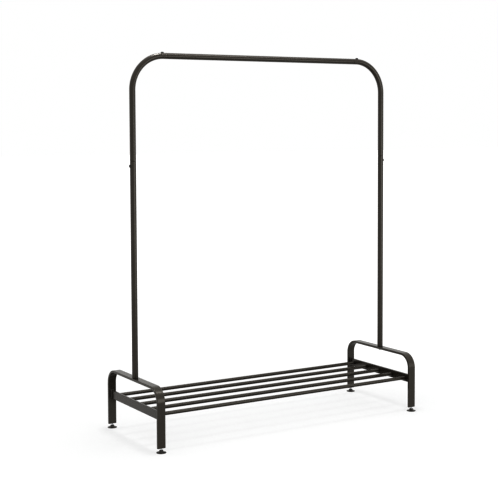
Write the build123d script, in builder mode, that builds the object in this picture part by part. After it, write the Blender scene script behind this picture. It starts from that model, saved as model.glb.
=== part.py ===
"""Free-standing garment rail with a low shoe shelf.

Millimetres, +Z up. The origin is on the floor, midway between the two ends.
X runs along the rail and Y from front to back, with the front at -Y.
"""
import os
from build123d import *

os.makedirs("parts", exist_ok=True)

# Driving dimensions
rail_height = 1600.0          # floor to the top of the hanging bar
rail_spacing = 1270.0         # upright centre to upright centre
foot_spacing = 466.0          # front leg centre to back leg centre
frame_top = 259.0             # floor to the top face of an end frame
shelf_z = 146.5               # floor to the centre line of the shelf tubes
shelf_pitch = 98.5            # shelf tube to shelf tube
shelf_count = 5

tube_radius = 12.5            # 25 mm round tube
tube_bore = 11.0
bend_radius = 142.0           # centre line of the upper corners
side_seam_z = 1155.0          # joint between a corner bend and its upright
top_seam_inset = 158.0        # joint between a corner bend and the top bar, in from the upright
bolt_inset = 20.0             # joint bolt to its seam

sleeve_radius = 10.5
sleeve_bore = 8.5
sleeve_fixed = 40.0           # sleeve length in the piece that it is welded into
sleeve_free = 27.0            # sleeve length in the piece that is bolted to it

member_width = 35.0           # end frame and cross tube section, 35 x 10 mm
member_depth = 10.0
member_wall = 1.2
member_corner = 2.0
frame_bend_radius = 57.0      # centre line of an end frame's corners
weld_leg = 3.0
weld_taper = 40.0             # degrees from the leg's face normal

shelf_tube_radius = 7.5
shelf_tube_bore = 6.3
shelf_end_gap = 0.25
peg_radius = 6.0
peg_bore = 4.5
peg_length = 22.0

m6_radius = 3.0
m6_clearance = 3.3
m6_head_radius = 6.0
m6_head_height = 3.2
m6_nut_apothem = 5.0
m6_nut_height = 5.0
m6_nut_reach = 6.8            # top of the nut from the tube's centre line
m6_tip_reach = 1.0            # tip of the bolt from the tube's centre line
saddle_radius = 6.5
saddle_crown = 0.8            # saddle washer thickness over the tube's highest line
m6_socket_apothem = 2.0
m6_socket_depth = 1.8
dome_fraction = 0.85          # share of a head's height that is rounded
tip_chamfer = 0.8

m8_radius = 4.0
m8_clearance = 4.3
thread_clearance = 0.05
washer_radius = 8.0
washer_height = 1.6
base_head_radius = 7.0
base_head_height = 4.4
m8_socket_apothem = 2.5
m8_socket_depth = 2.6
base_bolt_reach = 23.0        # how far the bolt enters the upright's plug
base_flange_height = 1.5
base_plug_radius = 10.9
base_plug_height = 26.0

leg_bottom = 19.5             # lower end of the leg tubes
plug_flange_height = 1.5
plug_height = 26.0
plug_gap = 0.2                # plug body to tube wall
pad_radius = 20.0
pad_rim_height = 2.0
pad_rim_step = 1.5
pad_hub_radius = 9.0
pad_top_radius = 7.0
pad_height = 9.0
pad_socket_bottom = 3.0
foot_thread_radius = 3.0      # M6
stud_gap = 0.1
collar_apothem = 6.5
collar_height = 3.0
stud_top = 43.0

# Values that follow from them
bar_z = rail_height - tube_radius
member_z = frame_top - member_depth / 2
upright_bottom = frame_top + base_flange_height
leg_y = foot_spacing / 2
leg_inner_y = leg_y - member_depth / 2
cross_face_x = rail_spacing / 2 - member_depth / 2
shelf_ys = [(n - (shelf_count - 1) / 2) * shelf_pitch for n in range(shelf_count)]
sides = {"left": -1, "right": 1}
ends = {"front": -1, "back": 1}
centred_up = (Align.CENTER, Align.CENTER, Align.MIN)
centred_down = (Align.CENTER, Align.CENTER, Align.MAX)


def save(builder, name):
    """Label a finished piece and write it as its own file."""
    builder.part.label = name
    export_step(builder.part, f"parts/{name}.step")


def joint_planes(sign):
    """Bolt planes of one side: origin on the tube's centre line, x along the tube, z outwards."""
    x = sign * rail_spacing / 2
    top_x = x - sign * (top_seam_inset - bolt_inset)
    return {
        "top_joint": Plane(origin=(top_x, 0, bar_z), x_dir=(sign, 0, 0), z_dir=(0, 0, 1)),
        "side_joint": Plane(origin=(x, 0, side_seam_z - bolt_inset),
                            x_dir=(0, 0, -1), z_dir=(sign, 0, 0)),
    }


# Top bar: one straight tube between the two corner bends
bar_length = rail_spacing - 2 * top_seam_inset
with BuildPart() as top_bar:
    with BuildSketch(Plane.YZ.offset(-bar_length / 2)):
        with Locations((0, bar_z)):
            Circle(tube_radius)
            Circle(tube_bore, mode=Mode.SUBTRACT)
    extrude(amount=bar_length)
save(top_bar, "top_bar")

for side, sign in sides.items():
    x = sign * rail_spacing / 2
    planes = joint_planes(sign)

    # Corner bend: a leg that stands on the upright, and a short stub to the top bar
    seam_x = sign * bar_length / 2
    with BuildPart() as bend:
        with BuildLine(Plane.XZ) as bend_path:
            FilletPolyline((x, side_seam_z), (x, bar_z), (seam_x, bar_z), radius=bend_radius)
        with BuildSketch(Plane.XY.offset(side_seam_z)):
            with Locations((x, 0)):
                Circle(tube_radius)
                Circle(tube_bore, mode=Mode.SUBTRACT)
        sweep(path=bend_path.line)
        with Locations(planes["top_joint"].offset(tube_radius + 1)):
            Hole(m6_clearance, depth=tube_radius)
    save(bend, f"{side}_corner_bend")

    # Upright: straight tube from the end frame to the side seam
    with BuildPart() as upright:
        with BuildSketch(Plane.XY.offset(upright_bottom)):
            with Locations((x, 0)):
                Circle(tube_radius)
                Circle(tube_bore, mode=Mode.SUBTRACT)
        extrude(amount=side_seam_z - upright_bottom)
        with Locations(planes["side_joint"].offset(tube_radius + 1)):
            Hole(m6_clearance, depth=tube_radius)
    save(upright, f"{side}_upright")

    for joint, plane in planes.items():
        # Sleeve inside the joint: welded into one tube, bolted through the wall of the other.
        # Its x runs from the bolted end (+) to the welded end (-).
        sleeve_length = sleeve_free + sleeve_fixed
        sleeve_start = sleeve_free - bolt_inset
        with BuildPart() as sleeve:
            with BuildSketch(Plane(plane.from_local_coords((sleeve_start, 0, 0)),
                                   x_dir=plane.z_dir, z_dir=-plane.x_dir)):
                Circle(sleeve_radius)
                Circle(sleeve_bore, mode=Mode.SUBTRACT)
            extrude(amount=sleeve_length)
            with Locations(plane.offset(sleeve_radius + 1)):
                Hole(m6_clearance, depth=sleeve_radius)
        save(sleeve, f"{side}_{joint}_sleeve")

        # Nut welded inside the sleeve
        with BuildPart() as nut:
            with BuildSketch(plane.offset(m6_nut_reach - m6_nut_height)):
                RegularPolygon(m6_nut_apothem, 6, major_radius=False)
                Circle(m6_radius + thread_clearance, mode=Mode.SUBTRACT)
            extrude(amount=m6_nut_height)
        save(nut, f"{side}_{joint}_nut")

        # Saddle washer: flat on top, hollowed to sit on the tube
        with BuildPart() as saddle:
            with BuildSketch(plane):
                Circle(saddle_radius)
                Circle(m6_clearance, mode=Mode.SUBTRACT)
            extrude(amount=tube_radius + saddle_crown)
            with BuildSketch(Plane(plane.from_local_coords((-2 * tube_radius, 0, 0)),
                                   x_dir=plane.z_dir, z_dir=plane.x_dir)):
                Circle(tube_radius)
            extrude(amount=4 * tube_radius, mode=Mode.SUBTRACT)
        save(saddle, f"{side}_{joint}_saddle")

        # Joint bolt: domed head with a hexagon socket, threaded shank
        outwards = Axis(plane.origin, plane.z_dir)
        with BuildPart() as bolt:
            with BuildSketch(plane.offset(tube_radius + saddle_crown)):
                Circle(m6_head_radius)
            extrude(amount=m6_head_height)
            fillet(bolt.edges().group_by(outwards)[-1], radius=m6_head_height * dome_fraction)
            with BuildSketch(plane.offset(m6_tip_reach)):
                Circle(m6_radius)
            extrude(amount=tube_radius + saddle_crown - m6_tip_reach)
            with BuildSketch(plane.offset(tube_radius + saddle_crown + m6_head_height)):
                RegularPolygon(m6_socket_apothem, 6, major_radius=False)
            extrude(amount=-m6_socket_depth, mode=Mode.SUBTRACT)
            chamfer(bolt.edges().group_by(outwards)[0], length=tip_chamfer)
        save(bolt, f"{side}_{joint}_bolt")

    # End frame: one flat tube bent into an upside-down U
    with BuildPart() as end_frame:
        with BuildLine(Plane.YZ.offset(x)) as frame_path:
            FilletPolyline((-leg_y, leg_bottom), (-leg_y, member_z), (leg_y, member_z),
                           (leg_y, leg_bottom), radius=frame_bend_radius)
        with BuildSketch(Plane.XY.offset(leg_bottom)):
            with Locations((x, -leg_y)):
                RectangleRounded(member_width, member_depth, member_corner)
                RectangleRounded(member_width - 2 * member_wall, member_depth - 2 * member_wall,
                                 member_corner - member_wall, mode=Mode.SUBTRACT)
        sweep(path=frame_path.line)
        with Locations((x, 0, frame_top)):
            Hole(m8_clearance, depth=member_depth)
    save(end_frame, f"{side}_end_frame")

    # Cross tube: the same section on edge, welded between the two legs
    with BuildPart() as cross_tube:
        with BuildSketch(Plane.XZ.offset(-leg_inner_y)):
            with Locations((x, shelf_z)):
                RectangleRounded(member_depth, member_width, member_corner)
                RectangleRounded(member_depth - 2 * member_wall, member_width - 2 * member_wall,
                                 member_corner - member_wall, mode=Mode.SUBTRACT)
        extrude(amount=2 * leg_inner_y)
    save(cross_tube, f"{side}_cross_tube")

    # Fillet welds around both ends of the cross tube
    with BuildPart() as welds:
        for end_sign in ends.values():
            weld_plane = Plane(origin=(x, end_sign * leg_inner_y, shelf_z),
                               x_dir=(1, 0, 0), z_dir=(0, -end_sign, 0))
            with BuildSketch(weld_plane):
                RectangleRounded(member_depth + 2 * weld_leg, member_width + 2 * weld_leg,
                                 member_corner + weld_leg)
            extrude(amount=weld_leg, taper=weld_taper)
            with BuildSketch(weld_plane):
                RectangleRounded(member_depth, member_width, member_corner)
            extrude(amount=2 * weld_leg, mode=Mode.SUBTRACT)
    save(welds, f"{side}_frame_welds")

    # Pegs welded to the cross tube's inner face: the shelf tubes slip over them
    with BuildPart() as pegs:
        with BuildSketch(Plane.YZ.offset(sign * cross_face_x)):
            with Locations(*[(y, shelf_z) for y in shelf_ys]):
                Circle(peg_radius)
                Circle(peg_bore, mode=Mode.SUBTRACT)
        extrude(amount=-sign * peg_length)
    save(pegs, f"{side}_shelf_pegs")

    # Plug that closes the upright's foot and takes the base bolt
    with BuildPart() as base_plug:
        with Locations((x, 0, frame_top)):
            Cylinder(tube_radius, base_flange_height, align=centred_up)
            Cylinder(base_plug_radius, base_plug_height, align=centred_up)
        chamfer(base_plug.edges().group_by(Axis.Z)[-1], length=tip_chamfer)
        with Locations((x, 0, frame_top + base_plug_height)):
            Hole(m8_radius + thread_clearance, depth=base_plug_height)
    save(base_plug, f"{side}_upright_base_plug")

    # Washer and base bolt, from below through the end frame
    frame_underside = frame_top - member_depth
    with BuildPart() as washer:
        with Locations((x, 0, frame_underside)):
            Cylinder(washer_radius, washer_height, align=centred_down)
            Hole(m8_clearance, depth=washer_height)
    save(washer, f"{side}_base_washer")

    washer_underside = frame_underside - washer_height
    with BuildPart() as base_bolt:
        with Locations((x, 0, washer_underside)):
            Cylinder(base_head_radius, base_head_height, align=centred_down)
        fillet(base_bolt.edges().group_by(Axis.Z)[0], radius=base_head_height * dome_fraction)
        with BuildSketch(Plane.XY.offset(washer_underside - base_head_height)):
            with Locations((x, 0)):
                RegularPolygon(m8_socket_apothem, 6, major_radius=False)
        extrude(amount=m8_socket_depth, mode=Mode.SUBTRACT)
        with Locations((x, 0, washer_underside)):
            Cylinder(m8_radius, frame_top + base_bolt_reach - washer_underside, align=centred_up)
        chamfer(base_bolt.edges().group_by(Axis.Z)[-1], length=tip_chamfer)
    save(base_bolt, f"{side}_base_bolt")

    for end, end_sign in ends.items():
        y = end_sign * leg_y
        plug_bottom = leg_bottom - plug_flange_height

        # Leg plug: pushed into the end of the leg, threaded for the foot
        with BuildPart() as leg_plug:
            with BuildSketch(Plane.XY.offset(plug_bottom)):
                with Locations((x, y)):
                    RectangleRounded(member_width, member_depth, member_corner)
            extrude(amount=plug_flange_height)
            with BuildSketch(Plane.XY.offset(leg_bottom)):
                with Locations((x, y)):
                    Rectangle(member_width - 2 * (member_wall + plug_gap),
                              member_depth - 2 * (member_wall + plug_gap))
            extrude(amount=plug_height)
            body_edges = leg_plug.edges().filter_by(Axis.Z).group_by(SortBy.LENGTH)[-1]
            chamfer(body_edges, length=tip_chamfer)
            with Locations((x, y, leg_bottom + plug_height)):
                Hole(foot_thread_radius + thread_clearance, depth=plug_height + plug_flange_height)
        save(leg_plug, f"{end}_{side}_leg_plug")

        # Foot pad: flat disc with a raised hub and a blind socket for the stud
        with BuildPart() as pad:
            with Locations((x, y, 0)):
                Cylinder(pad_radius, pad_rim_height, align=centred_up)
            with Locations((x, y, pad_rim_height)):
                Cone(pad_radius - pad_rim_step, pad_hub_radius, pad_rim_height, align=centred_up)
            with Locations((x, y, 2 * pad_rim_height)):
                Cone(pad_hub_radius, pad_top_radius, pad_height - 2 * pad_rim_height,
                     align=centred_up)
            with Locations((x, y, pad_height)):
                Hole(foot_thread_radius + thread_clearance, depth=pad_height - pad_socket_bottom)
        save(pad, f"{end}_{side}_foot_pad")

        # Foot stud: threaded rod with a fixed hexagon collar that bears on the pad
        with BuildPart() as stud:
            with BuildSketch(Plane.XY.offset(pad_height + stud_gap)):
                with Locations((x, y)):
                    RegularPolygon(collar_apothem, 6, major_radius=False)
            extrude(amount=collar_height)
            with Locations((x, y, pad_socket_bottom + stud_gap)):
                Cylinder(foot_thread_radius, stud_top - pad_socket_bottom - stud_gap,
                         align=centred_up)
            chamfer(stud.edges().group_by(Axis.Z)[-1], length=tip_chamfer)
        save(stud, f"{end}_{side}_foot_stud")

# Shelf: straight tubes side by side, numbered from front to back
shelf_length = 2 * (cross_face_x - shelf_end_gap)
for number, y in enumerate(shelf_ys, start=1):
    with BuildPart() as shelf_tube:
        with BuildSketch(Plane.YZ.offset(-shelf_length / 2)):
            with Locations((y, shelf_z)):
                Circle(shelf_tube_radius)
                Circle(shelf_tube_bore, mode=Mode.SUBTRACT)
        extrude(amount=shelf_length)
    save(shelf_tube, f"shelf_tube_{number}")
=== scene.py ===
"""Garment rail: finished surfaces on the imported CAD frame.

Metres, +Z up, X along the hanging bar, -Y towards the front.
"""
import math
import bmesh
import bpy
from mathutils import Matrix, Vector, noise


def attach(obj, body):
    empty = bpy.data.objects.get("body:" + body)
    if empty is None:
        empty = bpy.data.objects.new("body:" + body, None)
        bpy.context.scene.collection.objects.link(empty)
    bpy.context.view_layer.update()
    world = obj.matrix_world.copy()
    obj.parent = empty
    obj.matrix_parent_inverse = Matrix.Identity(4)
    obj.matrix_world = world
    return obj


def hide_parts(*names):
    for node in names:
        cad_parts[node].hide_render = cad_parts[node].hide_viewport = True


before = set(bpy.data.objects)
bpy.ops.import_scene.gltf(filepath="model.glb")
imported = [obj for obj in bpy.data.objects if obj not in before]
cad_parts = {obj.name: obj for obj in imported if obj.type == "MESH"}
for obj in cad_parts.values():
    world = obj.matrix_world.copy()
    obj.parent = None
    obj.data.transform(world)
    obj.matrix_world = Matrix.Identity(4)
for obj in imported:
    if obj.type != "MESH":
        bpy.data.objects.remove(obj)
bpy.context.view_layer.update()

MM = 0.001
SIDES = {"left": -1, "right": 1}
ENDS = {"front": -1, "back": 1}

# Sizes, as in the CAD model
TUBE_R = 12.5 * MM
TUBE_BORE = 11.0 * MM
RAIL_X = 635.0 * MM
BAR_Z = 1587.5 * MM
BEND_R = 142.0 * MM
SIDE_SEAM_Z = 1155.0 * MM
TOP_SEAM_X = 477.0 * MM
UPRIGHT_Z = 260.5 * MM
BOLT_INSET = 20.0 * MM

BOLT_HEAD_R = 6.0 * MM
BOLT_HEAD_H = 3.2 * MM
BOLT_SEAT = 13.3 * MM         # underside of a joint bolt's head, from the tube's centre line
BOLT_TIP = 1.0 * MM
BOLT_R = 3.0 * MM
BOLT_SOCKET = 2.0 * MM        # half the width across the socket's flats
BOLT_SOCKET_DEPTH = 1.8 * MM

MEMBER_W = 35.0 * MM
MEMBER_D = 10.0 * MM
MEMBER_WALL = 1.2 * MM
MEMBER_CORNER = 2.0 * MM
FRAME_TOP = 259.0 * MM
FRAME_BEND_R = 57.0 * MM
LEG_Y = 233.0 * MM
LEG_Z = 19.5 * MM
WELD_LEG = 3.0 * MM

BASE_BORE = 4.05 * MM
BASE_FLANGE = 1.5 * MM
BASE_PLUG_R = 10.9 * MM
BASE_PLUG_H = 26.0 * MM

SHELF_Z = 146.5 * MM
SHELF_PITCH = 98.5 * MM
SHELF_COUNT = 5
SHELF_R = 7.5 * MM
SHELF_BORE = 6.3 * MM
SHELF_HALF = 629.75 * MM

CAP_BOTTOM = 18.0 * MM
CAP_TOP = 45.5 * MM
CAP_FIT = 0.2 * MM            # cap body to tube wall
THREAD_PITCH = 1.0 * MM
THREAD_R = 3.0 * MM
THREAD_DEPTH = 0.6 * MM
NECK_R = 2.55 * MM            # plain part of the stud, in and under the collar
BORE_R = 3.05 * MM
STUD_BOTTOM = 3.1 * MM
STUD_TOP = 43.0 * MM
THREAD_START = 11.4 * MM
STUD_CHAMFER = 0.8 * MM
COLLAR_LOW = 9.1 * MM
COLLAR_HIGH = 11.1 * MM
COLLAR_FLAT = 7.0 * MM        # half the width across the collar's flats
COLLAR_INNER = 2.5 * MM

EDGE_BEVEL = 0.45 * MM        # broken edge on a tube end
SEAM_BEVEL = 0.95 * MM        # rolled edge where two rail tubes meet, which draws the joint line
TUBE_SEGMENTS = 64
SMALL_SEGMENTS = 48
SMOOTH_ANGLE = 32.0           # degrees; a sharper edge stays sharp
QUARTERS = ((1, 1), (-1, 1), (-1, -1), (1, -1))


# ---------------------------------------------------------------- meshes

def ring_mesh(name, rings, loop=False, caps=(False, False), sharp=SMOOTH_ANGLE):
    """A skin over rings of points. loop joins the last ring to the first, caps close the ends."""
    bm = bmesh.new()
    rows = [[bm.verts.new(p) for p in ring] for ring in rings]
    count = len(rows[0])
    pairs = list(zip(rows, rows[1:]))
    if loop:
        pairs.append((rows[-1], rows[0]))
    for a, b in pairs:
        for i in range(count):
            j = (i + 1) % count
            bm.faces.new((a[i], a[j], b[j], b[i]))
    for row, wanted in ((rows[0], caps[0]), (rows[-1], caps[1])):
        if wanted:
            centre = bm.verts.new(sum((v.co for v in row), Vector()) / count)
            for i in range(count):
                bm.faces.new((row[i], row[(i + 1) % count], centre))
    bmesh.ops.recalc_face_normals(bm, faces=bm.faces)
    limit = math.radians(sharp)
    for edge in bm.edges:
        edge.smooth = len(edge.link_faces) < 2 or edge.calc_face_angle(0.0) < limit
    for face in bm.faces:
        face.smooth = True
    mesh = bpy.data.meshes.new(name)
    bm.to_mesh(mesh)
    bm.free()
    obj = bpy.data.objects.new(name, mesh)
    bpy.context.scene.collection.objects.link(obj)
    return obj


def circle(radius, segments=TUBE_SEGMENTS):
    """Points of a circle about the origin."""
    return [(radius * math.cos(2 * math.pi * i / segments),
             radius * math.sin(2 * math.pi * i / segments)) for i in range(segments)]


def rounded_rect(width, depth, corner, steps=6, margin=0.5 * MM):
    """Points of a rectangle with round corners, with extra points that keep its flats flat."""
    points = []
    for k, (sx, sy) in enumerate(QUARTERS):
        cx, cy = sx * (width / 2 - corner), sy * (depth / 2 - corner)
        start = k * math.pi / 2
        before = Vector((math.cos(start - math.pi / 2), math.sin(start - math.pi / 2)))
        after = Vector((math.cos(start + math.pi), math.sin(start + math.pi)))
        arc = [Vector((cx + corner * math.cos(start + t * math.pi / (2 * steps)),
                       cy + corner * math.sin(start + t * math.pi / (2 * steps))))
               for t in range(steps + 1)]
        points.append(tuple(arc[0] + before * margin))
        points += [tuple(p) for p in arc]
        points.append(tuple(arc[-1] + after * margin))
    return points


def filleted(points, radius, steps):
    """(position, tangent) along straight runs joined by arcs."""
    points = [Vector(p) for p in points]
    out = [(points[0], (points[1] - points[0]).normalized())]
    for a, b, c in zip(points, points[1:], points[2:]):
        u, w = (b - a).normalized(), (c - b).normalized()
        turn = u.angle(w)
        cut = radius * math.tan(turn / 2)
        inward = (w - u).normalized()
        centre = b + inward * (radius / math.cos(turn / 2))
        start = b - u * cut
        axis = u.cross(w).normalized()
        for i in range(steps + 1):
            spin = Matrix.Rotation(turn * i / steps, 3, axis)
            out.append((centre + spin @ (start - centre), spin @ u))
    out.append((points[-1], (points[-1] - points[-2]).normalized()))
    return out


def swept_tube(name, path, across, outer, inner, bevel=EDGE_BEVEL):
    """A hollow tube along a path in one plane, with bevelled ends.

    across is square to that plane. outer and inner give the section's points for an inset.
    """
    across = Vector(across)
    first, last = path[0], path[-1]
    stations = [(first[0], first[1], bevel), (first[0] + first[1] * bevel, first[1], 0.0)]
    stations += [(p, t, 0.0) for p, t in path[1:-1]]
    stations += [(last[0] - last[1] * bevel, last[1], 0.0), (last[0], last[1], bevel)]

    def ring(p, t, section):
        side = t.cross(across).normalized()
        return [p + across * u + side * v for u, v in section]

    rings = [ring(p, t, outer(inset)) for p, t, inset in stations]
    bare = [stations[0]] + stations[2:-2] + [stations[-1]]
    rings += [ring(p, t, inner(0.0)) for p, t, _ in reversed(bare)]
    return ring_mesh(name, rings, loop=True)


def round_tube(name, path, across, radius, bore, segments=TUBE_SEGMENTS, bevel=EDGE_BEVEL):
    """Round tube along a path."""
    return swept_tube(name, path, across,
                      lambda inset: circle(radius - inset, segments),
                      lambda inset: circle(bore, segments), bevel)


def flat_tube(name, path, across, width, depth):
    """Flat tube along a path, width measured along across."""
    return swept_tube(
        name, path, across,
        lambda inset: rounded_rect(width - 2 * inset, depth - 2 * inset, MEMBER_CORNER - inset),
        lambda inset: rounded_rect(width - 2 * MEMBER_WALL, depth - 2 * MEMBER_WALL,
                                   MEMBER_CORNER - MEMBER_WALL))


def lathe(name, profile, place, segments=SMALL_SEGMENTS, loop=False, caps=(False, False),
          sharp=SMOOTH_ANGLE):
    """Turns (radius, height) or (function of angle, height) pairs about a local Z."""
    rings = []
    for radius, height in profile:
        ring = []
        for i in range(segments):
            a = 2 * math.pi * i / segments
            r = radius(a) if callable(radius) else radius
            ring.append(place @ Vector((r * math.cos(a), r * math.sin(a), height)))
        rings.append(ring)
    return ring_mesh(name, rings, loop=loop, caps=caps, sharp=sharp)


def hexagon(apothem, limit=1.0):
    """Radius of a hexagon against angle, no further out than limit."""
    def radius(a):
        off = (a % (math.pi / 3)) - math.pi / 6
        return min(apothem / math.cos(off), limit)
    return radius


def rounded_step(r0, z0, r1, z1, steps):
    """Quarter round from (r0, z0) to (r1, z1), leaving along Z and arriving along the radius."""
    out = []
    for i in range(steps + 1):
        a = i * math.pi / (2 * steps)
        out.append((r1 + (r0 - r1) * math.cos(a), z0 + (z1 - z0) * math.sin(a)))
    return out


# ---------------------------------------------------------------- materials

WARM_TINT = (1.0, 0.965, 0.90, 1.0)     # reflections in black paint and plastic


def new_material(name):
    """An empty principled material, with its object coordinates."""
    mat = bpy.data.materials.new(name)
    mat.use_nodes = True
    nodes, links = mat.node_tree.nodes, mat.node_tree.links
    nodes.clear()
    out = nodes.new("ShaderNodeOutputMaterial")
    shader = nodes.new("ShaderNodeBsdfPrincipled")
    links.new(shader.outputs["BSDF"], out.inputs["Surface"])
    coord = nodes.new("ShaderNodeTexCoord")
    return mat, nodes, links, shader, coord.outputs["Object"]


def noise_node(nodes, links, vector, scale, detail, rough):
    node = nodes.new("ShaderNodeTexNoise")
    node.inputs["Scale"].default_value = scale
    node.inputs["Detail"].default_value = detail
    node.inputs["Roughness"].default_value = rough
    links.new(vector, node.inputs["Vector"])
    return node.outputs["Fac"]


def spread(nodes, links, value, low, high, to_low, to_high):
    """value from low..high mapped on to to_low..to_high, held at the ends."""
    node = nodes.new("ShaderNodeMapRange")
    links.new(value, node.inputs["Value"])
    node.inputs["From Min"].default_value = low
    node.inputs["From Max"].default_value = high
    node.inputs["To Min"].default_value = to_low
    node.inputs["To Max"].default_value = to_high
    return node.outputs["Result"]


def stretched(nodes, links, vector, scale):
    """Coordinates scaled per axis, for brushed or drawn marks."""
    node = nodes.new("ShaderNodeMapping")
    node.inputs["Scale"].default_value = scale
    links.new(vector, node.inputs["Vector"])
    return node.outputs["Vector"]


def math_node(nodes, links, kind, a, b):
    node = nodes.new("ShaderNodeMath")
    node.operation = kind
    for socket, value in zip(node.inputs, (a, b)):
        if isinstance(value, (int, float)):
            socket.default_value = value
        else:
            links.new(value, socket)
    return node.outputs[0]


def mix_colour(nodes, links, fac, a, b):
    """Blend of two fixed colours."""
    node = nodes.new("ShaderNodeMix")
    node.data_type = "RGBA"
    links.new(fac, node.inputs["Factor"])
    node.inputs[6].default_value = (*a, 1.0)
    node.inputs[7].default_value = (*b, 1.0)
    return node.outputs[2]


def bump(nodes, links, shader, height, distance, strength):
    node = nodes.new("ShaderNodeBump")
    node.inputs["Strength"].default_value = strength
    node.inputs["Distance"].default_value = distance
    links.new(height, node.inputs["Height"])
    links.new(node.outputs["Normal"], shader.inputs["Normal"])


def powder_coat(name, base, dusty, rough):
    """Satin powder coat: orange peel, soft gloss changes, fine specks and faint handling marks."""
    mat, nodes, links, shader, at = new_material(name)
    broad = noise_node(nodes, links, at, 9.0, 4.0, 0.55)
    fine = noise_node(nodes, links, at, 260.0, 3.0, 0.6)
    peel = noise_node(nodes, links, at, 720.0, 2.0, 0.45)
    grit = noise_node(nodes, links, at, 3100.0, 2.0, 0.5)
    rub = noise_node(nodes, links, stretched(nodes, links, at, (60.0, 60.0, 14.0)), 1.0, 5.0, 0.62)

    tint = spread(nodes, links, broad, 0.35, 0.7, 0.0, 0.55)
    specks = spread(nodes, links, grit, 0.66, 0.76, 0.0, 0.5)
    amount = math_node(nodes, links, "MAXIMUM", tint, specks)
    links.new(mix_colour(nodes, links, amount, base, dusty), shader.inputs["Base Color"])

    gloss = spread(nodes, links, fine, 0.3, 0.7, rough - 0.035, rough + 0.035)
    marks = spread(nodes, links, rub, 0.56, 0.74, 0.0, 0.07)
    links.new(math_node(nodes, links, "ADD", gloss, marks), shader.inputs["Roughness"])

    grain = math_node(nodes, links, "MULTIPLY", grit, 0.25)
    bump(nodes, links, shader, math_node(nodes, links, "ADD", peel, grain), 0.03 * MM, 0.42)
    shader.inputs["Specular Tint"].default_value = WARM_TINT
    return mat


def moulded_plastic(name, base, worn, rough):
    """Moulded black plastic with a fine spark-eroded texture."""
    mat, nodes, links, shader, at = new_material(name)
    broad = noise_node(nodes, links, at, 40.0, 4.0, 0.6)
    texture = noise_node(nodes, links, at, 1900.0, 3.0, 0.6)
    scuffed = spread(nodes, links, broad, 0.4, 0.75, 0.0, 0.7)
    links.new(mix_colour(nodes, links, scuffed, base, worn), shader.inputs["Base Color"])
    links.new(spread(nodes, links, texture, 0.3, 0.7, rough - 0.06, rough + 0.08),
              shader.inputs["Roughness"])
    bump(nodes, links, shader, texture, 0.05 * MM, 0.6)
    shader.inputs["Specular Tint"].default_value = WARM_TINT
    return mat


def steel(name, dark, bright, rough, scale, metallic=1.0):
    """Bare, plated or oxidised steel with drawn marks along one direction and a cloudy finish."""
    mat, nodes, links, shader, at = new_material(name)
    drawn = noise_node(nodes, links, stretched(nodes, links, at, scale), 1.0, 4.0, 0.6)
    cloud = noise_node(nodes, links, at, 120.0, 4.0, 0.6)
    patches = spread(nodes, links, cloud, 0.35, 0.7, 0.0, 1.0)
    links.new(mix_colour(nodes, links, patches, dark, bright), shader.inputs["Base Color"])
    gloss = spread(nodes, links, drawn, 0.3, 0.7, rough - 0.07, rough + 0.07)
    links.new(gloss, shader.inputs["Roughness"])
    bump(nodes, links, shader, drawn, 0.02 * MM, 0.5)
    shader.inputs["Metallic"].default_value = metallic
    return mat


paint = powder_coat("satin_black_powder_coat", base=(0.0190, 0.0160, 0.0120),
                    dusty=(0.027, 0.0235, 0.0185), rough=0.24)
oxide = steel("black_oxide_steel", dark=(0.020, 0.019, 0.018), bright=(0.045, 0.043, 0.041),
              rough=0.34, scale=(900.0, 900.0, 900.0), metallic=0.35)
mill = steel("mill_steel", dark=(0.30, 0.30, 0.31), bright=(0.46, 0.46, 0.47),
             rough=0.38, scale=(1800.0, 1800.0, 60.0))
zinc = steel("bright_zinc_plate", dark=(0.52, 0.53, 0.55), bright=(0.68, 0.69, 0.70),
             rough=0.26, scale=(400.0, 400.0, 2400.0))
plastic = moulded_plastic("black_moulded_plastic", base=(0.0175, 0.0165, 0.0145),
                          worn=(0.028, 0.0265, 0.024), rough=0.46)


def add_piece(obj, body, material, slot, *nodes):
    """Rides on a body, stands for CAD nodes and takes a material."""
    obj.data.materials.append(material)
    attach(obj, body)
    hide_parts(*nodes)


def painted(obj, *nodes):
    add_piece(obj, "rack", paint, "frame_paint", *nodes)


def black_plastic(obj, body, *nodes):
    add_piece(obj, body, plastic, "black_plastic", *nodes)


# ---------------------------------------------------------------- hanging frame

def line(a, b):
    """A straight path from a to b."""
    a, b = Vector(a), Vector(b)
    return [(a, (b - a).normalized()), (b, (b - a).normalized())]


painted(round_tube("bar_tube", line((-TOP_SEAM_X, 0, BAR_Z), (TOP_SEAM_X, 0, BAR_Z)),
                   (0, 1, 0), TUBE_R, TUBE_BORE, bevel=SEAM_BEVEL), "top_bar")

for side, sign in SIDES.items():
    x = sign * RAIL_X
    bend_path = filleted([(x, 0, SIDE_SEAM_Z), (x, 0, BAR_Z), (sign * TOP_SEAM_X, 0, BAR_Z)],
                         BEND_R, 40)
    painted(round_tube(f"{side}_bend_tube", bend_path, (0, 1, 0), TUBE_R, TUBE_BORE,
                       bevel=SEAM_BEVEL), f"{side}_corner_bend")
    painted(round_tube(f"{side}_upright_tube", line((x, 0, UPRIGHT_Z), (x, 0, SIDE_SEAM_Z)),
                       (0, 1, 0), TUBE_R, TUBE_BORE, bevel=SEAM_BEVEL), f"{side}_upright")


# ---------------------------------------------------------------- joint bolts

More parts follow.
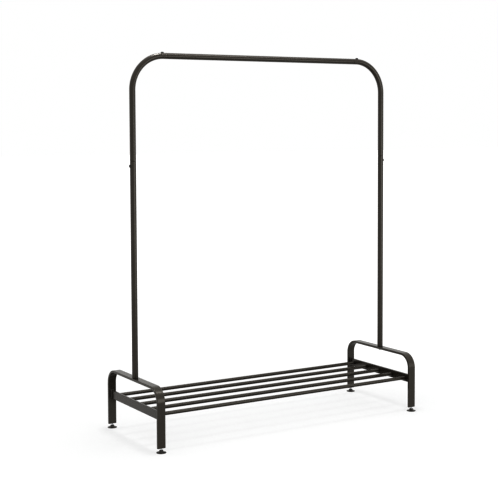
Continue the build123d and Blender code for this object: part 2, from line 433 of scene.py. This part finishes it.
def dome_bolt(name, place):
    """Button head bolt with a hexagon socket, built along local Z from the tube's centre line."""
    tip_chamfer = 0.6 * MM
    head_edge = 0.25 * MM
    socket_edge = 0.2 * MM
    top = BOLT_SEAT + BOLT_HEAD_H
    dome = BOLT_HEAD_H * 0.85
    profile = [(BOLT_R - tip_chamfer, BOLT_TIP), (BOLT_R, BOLT_TIP + tip_chamfer),
               (BOLT_R, BOLT_SEAT), (BOLT_HEAD_R - head_edge, BOLT_SEAT),
               (BOLT_HEAD_R, BOLT_SEAT + head_edge)]
    profile += rounded_step(BOLT_HEAD_R, top - dome, BOLT_HEAD_R - dome, top, 10)
    profile += [(hexagon(BOLT_SOCKET + socket_edge), top),
                (hexagon(BOLT_SOCKET), top - socket_edge),
                (hexagon(BOLT_SOCKET), top - BOLT_SOCKET_DEPTH)]
    return lathe(name, profile, place, caps=(True, True))


def frame_from(origin, x_dir, z_dir):
    """Placement with its local X and Z along the given directions."""
    z = Vector(z_dir).normalized()
    x = Vector(x_dir).normalized()
    y = z.cross(x)
    m = Matrix((x, y, z)).transposed().to_4x4()
    m.translation = Vector(origin)
    return m


for side, sign in SIDES.items():
    x = sign * RAIL_X
    bolt_x = sign * (TOP_SEAM_X + BOLT_INSET)
    places = {
        "top_joint": frame_from((bolt_x, 0, BAR_Z), (sign, 0, 0), (0, 0, 1)),
        "side_joint": frame_from((x, 0, SIDE_SEAM_Z - BOLT_INSET), (0, 0, -1), (sign, 0, 0)),
    }
    for joint, place in places.items():
        bolt = dome_bolt(f"{side}_{joint}_screw", place)
        add_piece(bolt, "rack", oxide, "fastener", f"{side}_{joint}_bolt")


# ---------------------------------------------------------------- end frames

def weld_bead(name, x, end_sign):
    """Fillet weld with ripples, round the end of a cross tube where it meets a leg."""
    half_w, half_h, corner = MEMBER_D / 2, MEMBER_W / 2, MEMBER_CORNER
    arc_steps = 8
    outline = []
    for k, (sx, sz) in enumerate(QUARTERS):
        cx, cz = sx * (half_w - corner), sz * (half_h - corner)
        for t in range(arc_steps + 1):
            a = k * math.pi / 2 + t * math.pi / (2 * arc_steps)
            out = Vector((math.cos(a), math.sin(a)))
            outline.append((Vector((cx, cz)) + out * corner, out))
    dense, step = [], 0.4 * MM          # the outline's points, no further apart than step
    for (p, n), (q, m) in zip(outline, outline[1:] + outline[:1]):
        pieces = max(1, round((q - p).length / step))
        for i in range(pieces):
            f = i / pieces
            dense.append((p.lerp(q, f), n.lerp(m, f).normalized()))
    rings, run, ripple = [], 0.0, 1.7 * MM
    section_steps = 8
    sunk, overlap = 0.3 * MM, 0.1 * MM  # how far the bead's root goes into the tube and the leg
    face_y = end_sign * (LEG_Y - MEMBER_D / 2)
    for i, (p, n) in enumerate(dense):
        run += (p - dense[i - 1][0]).length if i else 0.0
        ring = []
        wander = noise.noise(Vector((p.x * 140, end_sign + x, p.y * 140)))
        for s in range(section_steps + 1):
            a = s / section_steps
            wave = math.cos(2 * math.pi * (run / ripple + 0.35 * math.sin(math.pi * a)))
            size = WELD_LEG * (0.93 + 0.05 * wander)
            bulge = (0.22 + 0.13 * wave) * MM * math.sin(math.pi * a)
            out = size * (1 - a) + bulge
            up = size * a + bulge
            ring.append(Vector((x + p.x + n.x * out, face_y - end_sign * up,
                                SHELF_Z + p.y + n.y * out)))
        ring.append(Vector((x + p.x - n.x * sunk, face_y - end_sign * overlap,
                            SHELF_Z + p.y - n.y * sunk)))
        rings.append(ring)
    return ring_mesh(name, rings, loop=True, sharp=50.0)


for side, sign in SIDES.items():
    x = sign * RAIL_X
    top_z = FRAME_TOP - MEMBER_D / 2
    path = filleted([(x, -LEG_Y, LEG_Z), (x, -LEG_Y, top_z), (x, LEG_Y, top_z), (x, LEG_Y, LEG_Z)],
                    FRAME_BEND_R, 28)
    painted(flat_tube(f"{side}_frame_tube", path, (1, 0, 0), MEMBER_W, MEMBER_D),
            f"{side}_end_frame")

    inner_y = LEG_Y - MEMBER_D / 2
    cross = line((x, -inner_y, SHELF_Z), (x, inner_y, SHELF_Z))
    painted(flat_tube(f"{side}_cross_bar", cross, (1, 0, 0), MEMBER_D, MEMBER_W),
            f"{side}_cross_tube")

    for end, end_sign in ENDS.items():
        painted(weld_bead(f"{side}_{end}_weld", x, end_sign), f"{side}_frame_welds")

    # Plug in the foot of the upright, its flange with a broken edge above and below
    place = Matrix.Translation((x, 0, FRAME_TOP))
    edge, lead_in = 0.35 * MM, 0.8 * MM
    profile = [(BASE_BORE, 0.0), (TUBE_R - edge, 0.0), (TUBE_R, edge),
               (TUBE_R, BASE_FLANGE - edge), (TUBE_R - edge, BASE_FLANGE),
               (BASE_PLUG_R, BASE_FLANGE), (BASE_PLUG_R, BASE_PLUG_H - lead_in),
               (BASE_PLUG_R - lead_in, BASE_PLUG_H), (BASE_BORE, BASE_PLUG_H)]
    painted(lathe(f"{side}_base_collar", profile, place, TUBE_SEGMENTS, loop=True),
            f"{side}_upright_base_plug")


# ---------------------------------------------------------------- shelf

for number in range(1, SHELF_COUNT + 1):
    y = (number - 1 - (SHELF_COUNT - 1) / 2) * SHELF_PITCH
    path = line((-SHELF_HALF, y, SHELF_Z), (SHELF_HALF, y, SHELF_Z))
    painted(round_tube(f"shelf_bar_{number}", path, (0, 1, 0), SHELF_R, SHELF_BORE, 48),
            f"shelf_tube_{number}")


# ---------------------------------------------------------------- feet

def thread_radius(phase):
    """Thread radius at a place in one pitch: crest, flank, root, flank."""
    phase %= 1.0
    for start, end, low, high in ((0.0, 0.125, 1, 1), (0.125, 0.44, 1, 0), (0.44, 0.685, 0, 0),
                                  (0.685, 1.0, 0, 1)):
        if phase <= end:
            f = (phase - start) / (end - start)
            return THREAD_R - THREAD_DEPTH * (1 - (low + (high - low) * f))
    return THREAD_R


def threaded_rod(name, place):
    """Rod with a right-hand helical thread above the collar, and a plain neck below it."""
    segments = 40
    rings = []
    heights = [STUD_BOTTOM, STUD_BOTTOM + 0.3 * MM, THREAD_START]
    step = THREAD_PITCH / 10
    count = int((STUD_TOP - THREAD_START) / step)
    heights += [THREAD_START + step * (i + 1) for i in range(count)] + [STUD_TOP]
    for z in heights:
        ring = []
        for i in range(segments):
            a = 2 * math.pi * i / segments
            run_in = min(1.0, max(0.0, (z - THREAD_START) / (0.8 * THREAD_PITCH)))
            thread = thread_radius(z / THREAD_PITCH - a / (2 * math.pi))
            r = thread * run_in + NECK_R * (1 - run_in)
            r = min(r, THREAD_R - max(0.0, z - (STUD_TOP - STUD_CHAMFER)))
            ring.append(place @ Vector((r * math.cos(a), r * math.sin(a), z)))
        rings.append(ring)
    return ring_mesh(name, rings, caps=(True, True), sharp=60.0)


def foot_pad_profile():
    """Section of the glide: rounded rim, sloping skirt, filleted hub, socket and relieved base."""
    socket = [(3.05, 3.0), (3.05, 8.8), (3.3, 9.0)]
    hub = [(7.5, 9.0), (7.8, 8.85), (7.95, 8.5), (9.1, 4.9), (9.7, 4.25), (10.7, 3.85)]
    skirt = [(14.5, 2.85), (18.6, 2.1), (19.4, 1.9), (19.85, 1.5), (20.0, 1.0), (19.9, 0.4)]
    base = [(19.5, 0.0), (15.5, 0.0), (15.1, 0.4), (3.0, 0.4), (0.4, 0.4), (0.4, 3.0)]
    return [(radius * MM, height * MM) for radius, height in socket + hub + skirt + base]


def dense_outline(outline, step):
    """The outline with extra points, no further apart than step."""
    out = []
    for (u0, v0), (u1, v1) in zip(outline, outline[1:] + outline[:1]):
        pieces = max(1, math.ceil(math.hypot(u1 - u0, v1 - v0) / step))
        out += [(u0 + (u1 - u0) * i / pieces, v0 + (v1 - v0) * i / pieces) for i in range(pieces)]
    return out


def leg_plug(name, x, y):
    """Cap that closes the leg: flange with softened edges, body in the tube, bore for the stud."""
    outline = dense_outline(rounded_rect(MEMBER_W, MEMBER_D, MEMBER_CORNER), 0.6 * MM)
    low_edge, high_edge = 0.5 * MM, 0.3 * MM
    flange_top = LEG_Z - 0.1 * MM
    body = MEMBER_WALL + CAP_FIT
    rings = []
    for inset, z in ((low_edge, CAP_BOTTOM), (0.0, CAP_BOTTOM + low_edge),
                     (0.0, flange_top - high_edge), (high_edge, flange_top), (body, flange_top),
                     (body, CAP_TOP - 0.8 * MM), (body + 0.6 * MM, CAP_TOP)):
        wide, deep = 1 - 2 * inset / MEMBER_W, 1 - 2 * inset / MEMBER_D
        rings.append([Vector((x + u * wide, y + v * deep, z)) for u, v in outline])
    for radius, z in ((BORE_R, CAP_TOP), (BORE_R, CAP_BOTTOM + low_edge),
                      (BORE_R + low_edge, CAP_BOTTOM)):
        ring = []
        for u, v in outline:
            a = math.atan2(v, u)
            ring.append(Vector((x + radius * math.cos(a), y + radius * math.sin(a), z)))
        rings.append(ring)
    return ring_mesh(name, rings, loop=True)


def collar_profile():
    """Section of the hexagon collar on the stud, chamfered at its corners."""
    corner = COLLAR_FLAT / math.cos(math.pi / 6)
    cut, rise = 0.7 * MM, 0.45 * MM
    return [(COLLAR_INNER, COLLAR_LOW), (hexagon(COLLAR_FLAT, corner - cut), COLLAR_LOW),
            (hexagon(COLLAR_FLAT, corner), COLLAR_LOW + rise),
            (hexagon(COLLAR_FLAT, corner), COLLAR_HIGH - rise),
            (hexagon(COLLAR_FLAT, corner - cut), COLLAR_HIGH), (COLLAR_INNER, COLLAR_HIGH)]


for end, end_sign in ENDS.items():
    for side, sign in SIDES.items():
        foot = f"{end}_{side}"
        x, y = sign * RAIL_X, end_sign * LEG_Y
        place = Matrix.Translation((x, y, 0))
        black_plastic(leg_plug(f"{foot}_leg_cap", x, y), "rack", f"{foot}_leg_plug")
        black_plastic(lathe(f"{foot}_glide", foot_pad_profile(), place, TUBE_SEGMENTS, loop=True),
                      f"{foot}_pad", f"{foot}_foot_pad")

        add_piece(threaded_rod(f"{foot}_threaded_stud", place), f"{foot}_stud", zinc,
                  "stud_steel", f"{foot}_foot_stud")
        collar = lathe(f"{foot}_stud_collar", collar_profile(), place, 72, loop=True, sharp=20.0)
        black_plastic(collar, f"{foot}_stud", f"{foot}_foot_stud")


# ---------------------------------------------------------------- CAD pieces that stay

for name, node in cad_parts.items():
    if name.endswith(("_bolt", "_washer")):
        finish = oxide
    elif name.endswith(("_sleeve", "_nut", "_pegs")):
        finish = mill
    elif name.endswith("_saddle"):
        finish = plastic
    else:
        finish = paint
    node.data.materials.clear()
    node.data.materials.append(finish)


# ---------------------------------------------------------------- camera

YAW = math.radians(31.853)
PITCH_DOWN = math.radians(3.522)
ROLL = math.radians(-0.192)
CAMERA_PLACE = (-2.71603, -4.36368, 1.31052)
LENS = 84.94
SENSOR = 36.0
SHIFT = (-0.0301, -0.1084)

to_right = Vector((math.cos(YAW), -math.sin(YAW), 0))
forward = Vector((math.sin(YAW) * math.cos(PITCH_DOWN), math.cos(YAW) * math.cos(PITCH_DOWN),
                  -math.sin(PITCH_DOWN)))
up = to_right.cross(forward)
cam_x = to_right * math.cos(ROLL) + up * math.sin(ROLL)
cam_y = up * math.cos(ROLL) - to_right * math.sin(ROLL)
placed = Matrix((cam_x, cam_y, -forward)).transposed().to_4x4()
placed.translation = Vector(CAMERA_PLACE)

scene = bpy.context.scene
cam = bpy.data.cameras.new("studio_camera")
cam_obj = bpy.data.objects.new("studio_camera", cam)
scene.collection.objects.link(cam_obj)
cam_obj.matrix_world = placed
cam.sensor_width = SENSOR
cam.lens = LENS
cam.shift_x, cam.shift_y = SHIFT
cam.clip_start = 0.1
cam.clip_end = 200.0
scene.camera = cam_obj


# ---------------------------------------------------------------- floor and card

WHITE = (1.0, 1.0, 1.0, 1.0)
FLOOR_SIZE = 80.0
FLOOR_DIFFUSE = (0.15, 0.15, 0.15, 1.0)     # takes the object's shadows
FLOOR_FADE = (1.0, 2.2)                     # metres from the middle
FLOOR_GLOW = (0.675, 0.90)                  # own light, before and after the fade
CARD_SIZE = (1.21, 0.60)
CARD_Z = 0.09
CARD_EDGES = (("X", 0.46), ("Y", 0.40))     # where its edges start to fade, of half a size of 0.5
# the card's weak glow, seen only in reflections, is painted shade on the shelf's undersides
CARD_SHADE_GLOW = 0.25


def stage_plane(name, material, size, z):
    """A horizontal plane with an empty node material. Returns both, and the material's tree."""
    bpy.ops.mesh.primitive_plane_add(size=size, location=(0, 0, z))
    plane = bpy.context.object
    plane.name = name
    mat = bpy.data.materials.new(material)
    mat.use_nodes = True
    mat.node_tree.nodes.clear()
    plane.data.materials.append(mat)
    return plane, mat.node_tree


floor, tree = stage_plane("studio_floor", "pale_studio_floor", FLOOR_SIZE, 0)
nodes, links = tree.nodes, tree.links
matte = nodes.new("ShaderNodeBsdfDiffuse")
matte.inputs["Color"].default_value = FLOOR_DIFFUSE
glow = nodes.new("ShaderNodeEmission")
glow.inputs["Color"].default_value = WHITE
floor_coord = nodes.new("ShaderNodeTexCoord")
reach = nodes.new("ShaderNodeVectorMath")
reach.operation = "LENGTH"
links.new(floor_coord.outputs["Object"], reach.inputs[0])
links.new(spread(nodes, links, reach.outputs["Value"], *FLOOR_FADE, *FLOOR_GLOW),
          glow.inputs["Strength"])
both = nodes.new("ShaderNodeAddShader")
links.new(matte.outputs[0], both.inputs[0])
links.new(glow.outputs[0], both.inputs[1])
floor_out = nodes.new("ShaderNodeOutputMaterial")
links.new(both.outputs[0], floor_out.inputs["Surface"])
# Only the camera sees the floor. The light it would send up comes from the world's lower half.
floor.visible_diffuse = False
floor.visible_glossy = False
floor.visible_shadow = False

# Dark card below the shelf, which only reflections see: painted shade, whose weak glow keeps the
# tubes' undersides dark
card, tree = stage_plane("painted_shade_card", "soft_edged_painted_shade", 1.0, CARD_Z)
card.scale = (*CARD_SIZE, 1.0)
nodes, links = tree.nodes, tree.links
card_coord = nodes.new("ShaderNodeTexCoord")
card_axes = nodes.new("ShaderNodeSeparateXYZ")
links.new(card_coord.outputs["Object"], card_axes.inputs[0])
fades = []
for axis, start in CARD_EDGES:
    away = nodes.new("ShaderNodeMath")
    away.operation = "ABSOLUTE"
    links.new(card_axes.outputs[axis], away.inputs[0])
    fades.append(spread(nodes, links, away.outputs[0], start, 0.5, 1.0, 0.0))
cover = math_node(nodes, links, "MULTIPLY", fades[0], fades[1])
clear = nodes.new("ShaderNodeBsdfTransparent")
shade_glow = nodes.new("ShaderNodeEmission")
shade_glow.inputs["Color"].default_value = WHITE
shade_glow.inputs["Strength"].default_value = CARD_SHADE_GLOW
blend = nodes.new("ShaderNodeMixShader")
links.new(cover, blend.inputs["Fac"])
links.new(clear.outputs[0], blend.inputs[1])
links.new(shade_glow.outputs[0], blend.inputs[2])
card_out = nodes.new("ShaderNodeOutputMaterial")
links.new(blend.outputs[0], card_out.inputs["Surface"])
card.visible_camera = False
card.visible_diffuse = False
card.visible_shadow = False


# ---------------------------------------------------------------- lights

def softbox(name, location, target, size, radiance):
    """Rectangular area light of a given radiance, aimed at target."""
    width, height = size
    light = bpy.data.lights.new(name, "AREA")
    light.shape = "RECTANGLE"
    light.size, light.size_y = width, height
    light.energy = radiance * math.pi * width * height
    obj = bpy.data.objects.new(name, light)
    scene.collection.objects.link(obj)
    obj.location = location
    aim = Vector(target) - Vector(location)
    obj.rotation_euler = aim.to_track_quat("-Z", "Y").to_euler()
    obj.visible_camera = False
    return obj


softbox("front_right_softbox", location=(1.25, -3.35, 0.82), target=(0, 0, 0.82),
        size=(3.0, 1.5), radiance=3.3)
softbox("top_softbox", location=(0.05, 0.05, 4.2), target=(0, 0, 0),
        size=(0.75, 0.75), radiance=46.0)
glint = softbox("corner_softbox", location=(1.3, -1.2, 4.0), target=(-0.6, -0.2, 0.25),
                size=(1.0, 1.0), radiance=6.5)
glint.visible_diffuse = False


# ---------------------------------------------------------------- surround

# Brightness against height, from straight down (0) over the horizon (0.5) to straight up (1)
SKY = ((0.0, 0.55), (0.25, 0.60), (0.39, 0.77), (0.46, 0.79), (0.50, 0.73), (0.60, 0.73),
       (0.80, 0.93), (1.0, 1.0))
BRIGHT_SIDE = (-0.53, -0.85, 0.0)           # the studio's open side
SURROUND_GAIN = (1.62, 2.33)                # away from the bright side, and towards it

world = bpy.data.worlds.new("studio_world")
scene.world = world
world.use_nodes = True
nodes, links = world.node_tree.nodes, world.node_tree.links
nodes.clear()
world_coord = nodes.new("ShaderNodeTexCoord")
world_axes = nodes.new("ShaderNodeSeparateXYZ")
links.new(world_coord.outputs["Generated"], world_axes.inputs[0])
sky = nodes.new("ShaderNodeValToRGB")
links.new(spread(nodes, links, world_axes.outputs["Z"], -1.0, 1.0, 0.0, 1.0), sky.inputs["Fac"])
stops = sky.color_ramp.elements
stops.remove(stops[1])
for index, (position, value) in enumerate(SKY):
    stop = stops[0] if index == 0 else stops.new(position)
    stop.position = position
    stop.color = (value, value, value, 1)
toward = nodes.new("ShaderNodeVectorMath")
toward.operation = "DOT_PRODUCT"
links.new(world_coord.outputs["Generated"], toward.inputs[0])
toward.inputs[1].default_value = BRIGHT_SIDE
side_gain = spread(nodes, links, toward.outputs["Value"], -1.0, 1.0, *SURROUND_GAIN)
surround = nodes.new("ShaderNodeBackground")
links.new(sky.outputs["Color"], surround.inputs["Color"])
links.new(side_gain, surround.inputs["Strength"])
backdrop = nodes.new("ShaderNodeBackground")
backdrop.inputs["Color"].default_value = WHITE
# The camera sees a plain white backdrop behind the object
ray = nodes.new("ShaderNodeLightPath")
choose = nodes.new("ShaderNodeMixShader")
links.new(ray.outputs["Is Camera Ray"], choose.inputs["Fac"])
links.new(surround.outputs[0], choose.inputs[1])
links.new(backdrop.outputs[0], choose.inputs[2])
world_out = nodes.new("ShaderNodeOutputWorld")
links.new(choose.outputs[0], world_out.inputs["Surface"])

scene.view_settings.view_transform = "Standard"
scene.view_settings.look = "None"
scene.view_settings.exposure = 0.0
scene.view_settings.gamma = 0.6
